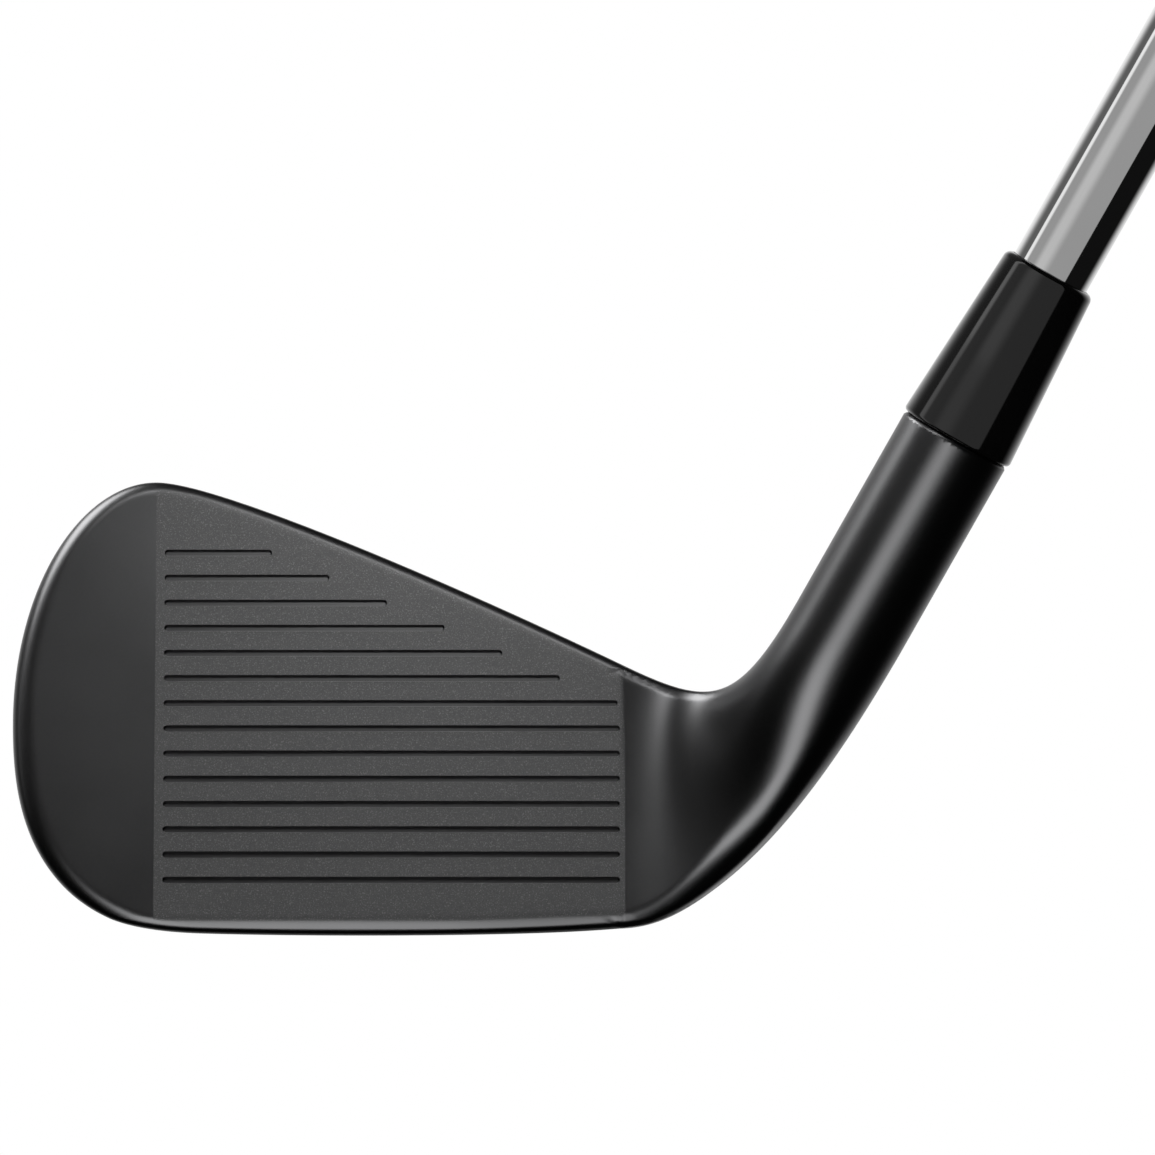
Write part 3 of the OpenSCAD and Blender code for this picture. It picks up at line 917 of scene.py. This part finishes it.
def port_place():
    """Middle of the filling port's outer end, and its radius."""
    low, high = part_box("port_screw")
    return Vector((low[0], (low[1] + high[1]) / 2, (low[2] + high[2]) / 2)), (high[2] - low[2]) / 2


class GOLF_OT_head(bpy.types.Operator):
    """Shape the head, and part it into the forged body and the grooved face plate"""

    bl_idname = "golf.head"
    bl_label = "Head and face plate"
    bl_options = {"REGISTER", "UNDO"}

    def execute(self, context):
        club = context.scene.golf
        shape = HeadShape(club.head)
        body = shape_head(shape, club.head.mesh_size)
        plate = copy_of(body, "plate")
        cut(plate, plate_room(shape, club.head.face_thickness), "INTERSECT")
        cut(body, plate_room(shape, club.head.face_thickness))
        cut_grooves(plate, shape, club.head)
        low, high = node_span("hosel_adhesive")
        floor = node_span("swing_weight")[0]
        rim, outer = club.head.mouth_radius, shape.hosel_r * MM
        cut(body, turned("mouth", [(0, high), (outer - rim, high), (outer - 0.4 * rim, high - 0.4 * rim),
                                   (outer, high - rim), (outer + rim, high - 3.5 * rim), (outer + 0.01, high),
                                   (outer + 0.01, high + 0.01), (0, high + 0.01)]))
        cut(body, rod("bore", node_reach("hosel_adhesive", high), AXIS * floor, AXIS * (high + 0.01)))
        place, radius = port_place()
        cut(body, rod("port", radius, place - Vector((0.01, 0, 0)), place + Vector((0.0055, 0, 0)), 48))
        recess = shape.thin - 0.6
        lean = Vector((0, shape.cos, -shape.sin)) * MM
        cut(body, prism("recess", on_back(shape, badge_outline(shape, -0.08), recess), lean * 12))
        for piece in (body, plate):
            smooth(piece, 38)
        finish_piece(body, "head_shell", satin_steel(club.finish.black_steel), "black_steel", "head_body")
        finish = blasted_steel(club.finish.blasted_steel, club.finish.black_steel, shape)
        finish_piece(plate, "grooved_face", finish, "blasted_steel", "face_plate")
        return {"FINISHED"}


class GOLF_OT_port_screw(bpy.types.Operator):
    """Make the socket screw in the toe"""

    bl_idname = "golf.port_screw"
    bl_label = "Port screw"
    bl_options = {"REGISTER", "UNDO"}

    def execute(self, context):
        place, radius = port_place()
        low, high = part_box("port_screw")
        screw = rod("screw", radius - 0.00004, place, Vector((high[0], place.y, place.z)), 64)
        apply_modifier(screw, "BEVEL", width=0.0003, segments=3, limit_method="ANGLE", angle_limit=math.radians(40))
        cut(screw, rod("socket", 0.00135, place - Vector((0.001, 0, 0)), place + Vector((0.002, 0, 0)), 6))
        smooth(screw)
        finish_piece(screw, "port_screw_head", brushed_metal((0.08, 0.08, 0.08), "black_oxide"), "screw_steel",
                     "port_screw")
        return {"FINISHED"}


class GOLF_OT_badge(bpy.types.Operator):
    """Make the plain badge on the back and its pad"""

    bl_idname = "golf.badge"
    bl_label = "Badge"
    bl_options = {"REGISTER", "UNDO"}

    def execute(self, context):
        club = context.scene.golf
        shape = HeadShape(club.head)
        lean = Vector((0, shape.cos, -shape.sin)) * MM
        floor = shape.thin - 0.6
        badge = prism("badge", on_back(shape, badge_outline(shape, 0.05), floor + 0.4), lean * 0.8)
        edit(badge, "DESELECT")
        bpy.ops.object.mode_set(mode="OBJECT")
        outer = max(badge.data.polygons, key=lambda f: (len(f.vertices) > 4, f.normal.dot(lean)))
        outer.select = True
        bpy.ops.object.mode_set(mode="EDIT")
        bpy.ops.mesh.select_mode(type="FACE")
        bpy.ops.mesh.inset(thickness=0.0011, depth=-0.00018)
        clear_selection()
        apply_modifier(badge, "BEVEL", width=0.00012, segments=2, limit_method="ANGLE", angle_limit=math.radians(30))
        smooth(badge, 30)
        finish_piece(badge, "back_badge", brushed_metal(club.finish.badge), "badge_metal", "badge")
        dress_node("badge_pad", grainy("pad_foam", (0.03, 0.03, 0.03), 0.0003, 0.3, 0.7, 0.00002))
        return {"FINISHED"}


class GOLF_OT_ferrule(bpy.types.Operator):
    """Turn the tapered ferrule"""

    bl_idname = "golf.ferrule"
    bl_label = "Ferrule"
    bl_options = {"REGISTER", "UNDO"}

    def execute(self, context):
        club = context.scene.golf
        low, high = node_span("ferrule")
        bottom, rim = node_reach("ferrule", low + 0.0006), club.shaft.rim
        top = node_reach("ferrule", high - 0.001, 0.0004)
        tip = node_reach("hosel_adhesive", low, 0.001) - 0.0001
        profile = [(tip, low), (bottom - rim, low), *arc((bottom - 0.6 * rim, low + 0.6 * rim), 0.6 * rim, -80, 0, 7),
                   *arc((top - rim, high - rim), rim, 4, 84, 9), (tip + 0.0003, high - 0.00002),
                   (tip, high - 0.0004)]
        ferrule = turned("ferrule", profile, 144)
        smooth(ferrule, 40)
        finish_piece(ferrule, "ferrule_sleeve", gloss_plastic(club.finish.ferrule), "ferrule_plastic", "ferrule")
        return {"FINISHED"}


class GOLF_OT_shaft(bpy.types.Operator):
    """Turn the stepped shaft, and dress its band"""

    bl_idname = "golf.shaft"
    bl_label = "Shaft and band"
    bl_options = {"REGISTER", "UNDO"}

    def execute(self, context):
        club = context.scene.golf
        sizes = club.shaft
        low, high = node_span("shaft")
        tip, butt = node_reach("shaft", low), node_reach("shaft", high)
        rise = (butt - tip) / sizes.steps
        outer = [(tip - 0.0003, low), (tip, low + 0.0003)]
        for i in range(sizes.steps):
            at, radius = sizes.first_step + i * sizes.step_pitch, tip + i * rise
            for part in (0, 0.15, 0.35, 0.65, 0.85, 1):
                ease = part * part * (3 - 2 * part)
                outer.append((radius + rise * ease, at + part * sizes.step_ramp))
        outer.append((butt, high))
        wall = [0.0006 + (0.00034 - 0.0006) * (up - low) / (high - low) for _, up in outer]
        inner = [(radius - w, up) for (radius, up), w in zip(outer, wall)]
        inner[0] = (outer[1][0] - wall[0], low)
        shaft = turned("shaft", outer + inner[::-1], 128)
        smooth(shaft, 40)
        finish_piece(shaft, "shaft_tube", chrome_plate(club.finish.chrome), "chrome", "shaft")
        start, end = node_span("shaft_band")
        skin = node_reach("shaft_band", start)
        band = turned("band", [(butt + 0.00001, start), (skin - 0.00003, start), (skin, start + 0.00005),
                               (skin, end - 0.00005), (skin - 0.00003, end), (butt + 0.00001, end)], 128)
        smooth(band)
        finish_piece(band, "plain_band", film(club.finish.band), "band_film", "shaft_band")
        return {"FINISHED"}


class GOLF_OT_grip(bpy.types.Operator):
    """Turn the grip's sleeve and cap, and press the moulded pattern into the sleeve"""

    bl_idname = "golf.grip"
    bl_label = "Grip"
    bl_options = {"REGISTER", "UNDO"}

    def execute(self, context):
        club = context.scene.golf
        self.sleeve(club)
        self.cap(club)
        return {"FINISHED"}

    def sleeve(self, club):
        low, high = node_span("grip_sleeve")
        inner = node_reach("grip_tape", high)
        shaft = node_reach("shaft", high)
        mouth, butt = node_reach("grip_sleeve", low + 0.00134, 0.0005), node_reach("grip_sleeve", high)
        count = 330
        def radius(u):
            return mouth + (butt - mouth) * (0.72 * u + 0.28 * u ** 4)
        outer = [(radius(u) - 0.00005 - 0.0009 * max(0, 1 - u * 160) ** 2, low + u * (high - low))
                 for u in (i / count for i in range(count + 1))]
        bore = [(inner, high), (inner, low + 0.004), (shaft + 0.00001, low + 0.004), (shaft + 0.00001, low)]
        sleeve = turned("sleeve", outer + bore, 140)
        self.press(sleeve, low, high, radius, club.grip)
        smooth(sleeve, 50)
        finish_piece(sleeve, "grip_rubber", moulded_rubber(club.finish.rubber), "rubber", "grip_sleeve")

    def press(self, sleeve, low, high, radius, sizes):
        """Sinks rows of long dimples and a few rings into the outside."""
        count = len(sleeve.data.vertices)
        co = np.empty(count * 3)
        sleeve.data.vertices.foreach_get("co", co)
        co = co.reshape(-1, 3)
        axis, side = np.array(AXIS), np.array(SIDE)
        up = co @ axis
        off = co - up[:, None] * axis
        reach = np.linalg.norm(off, axis=1)
        u = (up - low) / (high - low)
        outside = reach > 0.9 * np.array([radius(min(max(x, 0), 1)) for x in u])
        angle = np.arctan2(off[:, 1], off @ side)
        turns = angle / (2 * math.pi) * sizes.dimples_round
        row = (up - low) / sizes.dimple_pitch
        odd = np.floor(row) % 2 * 0.5
        across = np.abs((turns + odd) % 1 - 0.5) * 2
        along = np.abs(row % 1 - 0.5) * 2
        dimple = smooth_step((0.55 - across) / 0.3) * smooth_step((0.75 - along) / 0.3)
        field = smooth_step((u - 0.07) / 0.01) * smooth_step((0.94 - u) / 0.01)
        rings = sum(np.exp(-((up - at) / 0.0007) ** 2)
                    for at in (low + 0.010, low + 0.0125, high - 0.008, high - 0.0105))
        depth = sizes.dimple_depth * (dimple * field + 0.8 * rings) * outside
        co -= off / np.maximum(reach, 1e-6)[:, None] * depth[:, None]
        sleeve.data.vertices.foreach_set("co", co.ravel())
        sleeve.data.update()

    def cap(self, club):
        low, high = node_span("grip_cap")
        vent, butt = 0.0016, node_reach("grip_cap", low)
        rim = 0.0016
        profile = [(vent, low), (butt, low), *arc((butt - rim, high - rim), rim, 0, 90, 10),
                   (butt - 2.4 * MM, high), (butt - 2.7 * MM, high - 0.0003), (butt - 3.1 * MM, high - 0.0003),
                   (butt - 3.4 * MM, high), (vent + 0.0003, high), (vent, high - 0.0003)]
        cap = turned("cap", profile, 128)
        smooth(cap, 40)
        finish_piece(cap, "grip_end_cap", moulded_rubber(club.finish.rubber), "rubber", "grip_cap")


class GOLF_OT_inner_parts(bpy.types.Operator):
    """Finish the pieces that stay inside: foam, weights, adhesive and tape"""

    bl_idname = "golf.inner_parts"
    bl_label = "Inner parts"
    bl_options = {"REGISTER", "UNDO"}

    def execute(self, context):
        dress_node("core_foam", grainy("injected_foam", (0.72, 0.66, 0.46), 0.0008, 0.2, 0.75, 0.0001))
        dress_node("toe_weight", grainy("sintered_tungsten", (0.3, 0.3, 0.31), 0.0002, 0.2, 0.35, 0.00001, Metallic=1))
        dress_node("hosel_adhesive", grainy("cured_epoxy", (0.6, 0.52, 0.3), 0.0015, 0.12, 0.18, 0.00001))
        dress_node("swing_weight", grainy("machined_brass", (0.72, 0.52, 0.22), 0.0003, 0.1, 0.24, 0.000003,
                                          Metallic=1))
        dress_node("grip_tape", grainy("masking_tape", (0.8, 0.77, 0.66), 0.0006, 0.08, 0.7, 0.00004))
        return {"FINISHED"}


class GOLF_OT_stage(bpy.types.Operator):
    """Make the pale floor, the soft studio light and the camera"""

    bl_idname = "golf.stage"
    bl_label = "Stage"
    bl_options = {"REGISTER", "UNDO"}

    def execute(self, context):
        settings = context.scene.golf.stage
        self.camera(context, settings)
        self.world(context, settings)
        self.floor(settings)
        self.shaft_light(settings)
        level = settings.head_light
        self.softbox("key_light", (-0.18, -0.98, -0.40), 1.0, (0.34, 0.95), 3.6 * level)
        self.softbox("top_light", (0.12, -0.34, 0.93), 0.6, (0.35, 0.07), 5 * level)
        self.softbox("toe_light", (-0.60, 0.30, 0.75), 0.6, (0.26, 0.20), 8 * level)
        self.softbox("face_light", (0.03, -0.50, 0.87), 0.128, (0.024, 0.024), 6.5 * level)
        self.softbox("side_light", (-0.86, 0.12, 0.5), 0.8, (0.12, 0.5), 0.5 * level)
        context.scene.view_settings.view_transform = "Standard"
        return {"FINISHED"}

    def camera(self, context, settings):
        aim = Vector((-0.0106, 0.004, 0.042))
        data = bpy.data.cameras.new("camera")
        camera = bpy.data.objects.new("camera", data)
        context.collection.objects.link(camera)
        data.sensor_width = 36
        data.lens = settings.lens
        data.clip_end = 50
        up = math.radians(settings.elevation)
        camera.location = aim + Vector((0, -math.cos(up), math.sin(up))) * settings.distance
        camera.rotation_euler = (math.radians(90) - up, 0, 0)
        context.scene.camera = camera

    def world(self, context, settings):
        """White to the camera; for reflections a dark room with a pale wall behind the club."""
        world = bpy.data.worlds.new("studio")
        world.use_nodes = True
        tree = Tree(world.node_tree)
        way = tree.node("ShaderNodeTexCoord", output="Generated")
        back, up = tree.part(way, "Y"), tree.part(way, "Z")
        wall = back.between(0.35, 1.0) * up.between(-0.8, -0.45) * up.between(0.62, 0.25)
        level = settings.room_light + wall * settings.wall_light
        camera_ray = tree.node("ShaderNodeLightPath", output="Is Camera Ray")
        level = level * (1 - camera_ray) + camera_ray
        shade = tree.mix(level, (0.0, 0.0, 0.0), (1.0, 1.0, 1.0))
        background = tree.node("ShaderNodeBackground", {}, shade, 1.0)
        tree.finish("ShaderNodeOutputWorld", background)
        context.scene.world = world

    def floor(self, settings):
        clear_selection()
        bpy.ops.mesh.primitive_plane_add(size=12, location=(0, 0, -0.0002))
        floor = bpy.context.object
        floor.name = "pale_floor"
        material = bpy.data.materials.new("pale_floor")
        material.use_nodes = True
        tree = Tree(material.node_tree)
        grain = tree.noise(tree.place(), 0.03, 3)
        light, dark = tuple(settings.floor), tuple(0.96 * c for c in settings.floor)
        diffuse = tree.node("ShaderNodeBsdfDiffuse", {}, Color=tree.mix(grain, light, dark))
        glow = tree.node("ShaderNodeEmission", {}, Color=(1.0, 1.0, 1.0), Strength=1.0)
        camera_ray = tree.node("ShaderNodeLightPath", output="Is Camera Ray")
        tree.finish("ShaderNodeOutputMaterial", tree.node("ShaderNodeMixShader", {}, camera_ray, diffuse, glow))
        floor.data.materials.append(material)
        floor.visible_glossy = False

    def light_shape(self, obj, group, strength, build):
        """Turns a mesh into a light that only one group of pieces sees, at a level from 0 to 1."""
        material = bpy.data.materials.new(obj.name)
        material.use_nodes = True
        tree = Tree(material.node_tree)
        shade = tree.mix(build(tree), (0.0, 0.0, 0.0), (1.0, 1.0, 1.0))
        glow = tree.node("ShaderNodeEmission", {}, Color=shade, Strength=strength)
        clear = tree.node("ShaderNodeBsdfTransparent")
        tree.finish("ShaderNodeOutputMaterial", tree.node("ShaderNodeAddShader", {}, clear, glow))
        obj.data.materials.append(material)
        obj.visible_camera = False
        obj.visible_shadow = False
        obj.light_linking.receiver_collection = light_group(group)

    def shaft_light(self, settings):
        """A wide curved light round the shaft, with a bright strip at its left edge."""
        clear_selection()
        bpy.ops.mesh.primitive_cylinder_add(vertices=96, radius=1, depth=2.4, end_fill_type="NOTHING")
        shell = bpy.context.object
        shell.name = "shaft_light"
        shell.data.transform(Matrix.Rotation(math.atan2(AXIS.x, AXIS.z), 4, "Y"))

        def build(tree):
            place = tree.turned_place()
            turn = tree.node("ShaderNodeMath", {"operation": "ARCTAN2"}, tree.part(place, "X"),
                             tree.part(place, "Y") * -1) * math.degrees(1)
            rise = tree.part(place, "Z").between(0.085, 0.115)
            flat = turn.between(-97, -94) * turn.between(47.5, 46)
            left = turn.between(-62, -42) * turn.between(-6, -32)
            strip = turn.between(-97, -94) * turn.between(-80, -88)
            dim = turn.between(-95, -98) * 0.06
            return flat * 0.17 + dim + (left * 0.11 + strip * 0.3) * (1 + rise * 0.8)
        self.light_shape(shell, "bright_pieces", 2 * settings.shaft_light, build)

    def softbox(self, name, direction, distance, half_size, strength):
        """A soft-edged rectangle that faces the head."""
        clear_selection()
        bpy.ops.mesh.primitive_plane_add(size=2)
        box = bpy.context.object
        box.name = name
        aim = Vector((-0.03, 0, 0.03))
        direction = Vector(direction).normalized()
        stretch = Matrix.Diagonal((*half_size, 1, 1))
        turn = Matrix.Translation(aim + direction * distance) @ direction.to_track_quat("Z", "Y").to_matrix().to_4x4()
        box.matrix_world = turn
        box.data.transform(stretch)

        def build(tree):
            place = tree.place()
            x = tree.math("ABSOLUTE", tree.part(place, "X")) / half_size[0]
            y = tree.math("ABSOLUTE", tree.part(place, "Y")) / half_size[1]
            return x.between(1, 0.5) * y.between(1, 0.5)
        self.light_shape(box, "dark_pieces", strength, build)


class GOLF_PT_panel(bpy.types.Panel):
    """Sidebar panel that lists the club's operators and settings"""

    bl_idname = "GOLF_PT_panel"
    bl_label = "Iron Golf Club"
    bl_space_type = "VIEW_3D"
    bl_region_type = "UI"
    bl_category = "Golf"

    def draw(self, context):
        club = context.scene.golf
        for operator in OPERATORS:
            self.layout.operator(operator.bl_idname)
        for group in (club.head, club.shaft, club.grip, club.finish, club.stage):
            box = self.layout.box()
            for key in group.__annotations__:
                box.prop(group, key)


OPERATORS = (GOLF_OT_stage, GOLF_OT_head, GOLF_OT_port_screw, GOLF_OT_badge, GOLF_OT_ferrule, GOLF_OT_shaft,
             GOLF_OT_grip, GOLF_OT_inner_parts)
CLASSES = (HeadSizes, ShaftSizes, GripSizes, Finishes, StageSettings, ClubSettings, *OPERATORS, GOLF_PT_panel)


def register():
    for cls in CLASSES:
        bpy.utils.register_class(cls)
    bpy.types.Scene.golf = bpy.props.PointerProperty(type=ClubSettings)


def unregister():
    del bpy.types.Scene.golf
    for cls in reversed(CLASSES):
        bpy.utils.unregister_class(cls)


def main():
    register()
    bpy.ops.golf.stage()
    bpy.ops.golf.head()
    bpy.ops.golf.port_screw()
    bpy.ops.golf.badge()
    bpy.ops.golf.ferrule()
    bpy.ops.golf.shaft()
    bpy.ops.golf.grip()
    bpy.ops.golf.inner_parts()
    clear_selection()


if __name__ == "__main__":
    main()
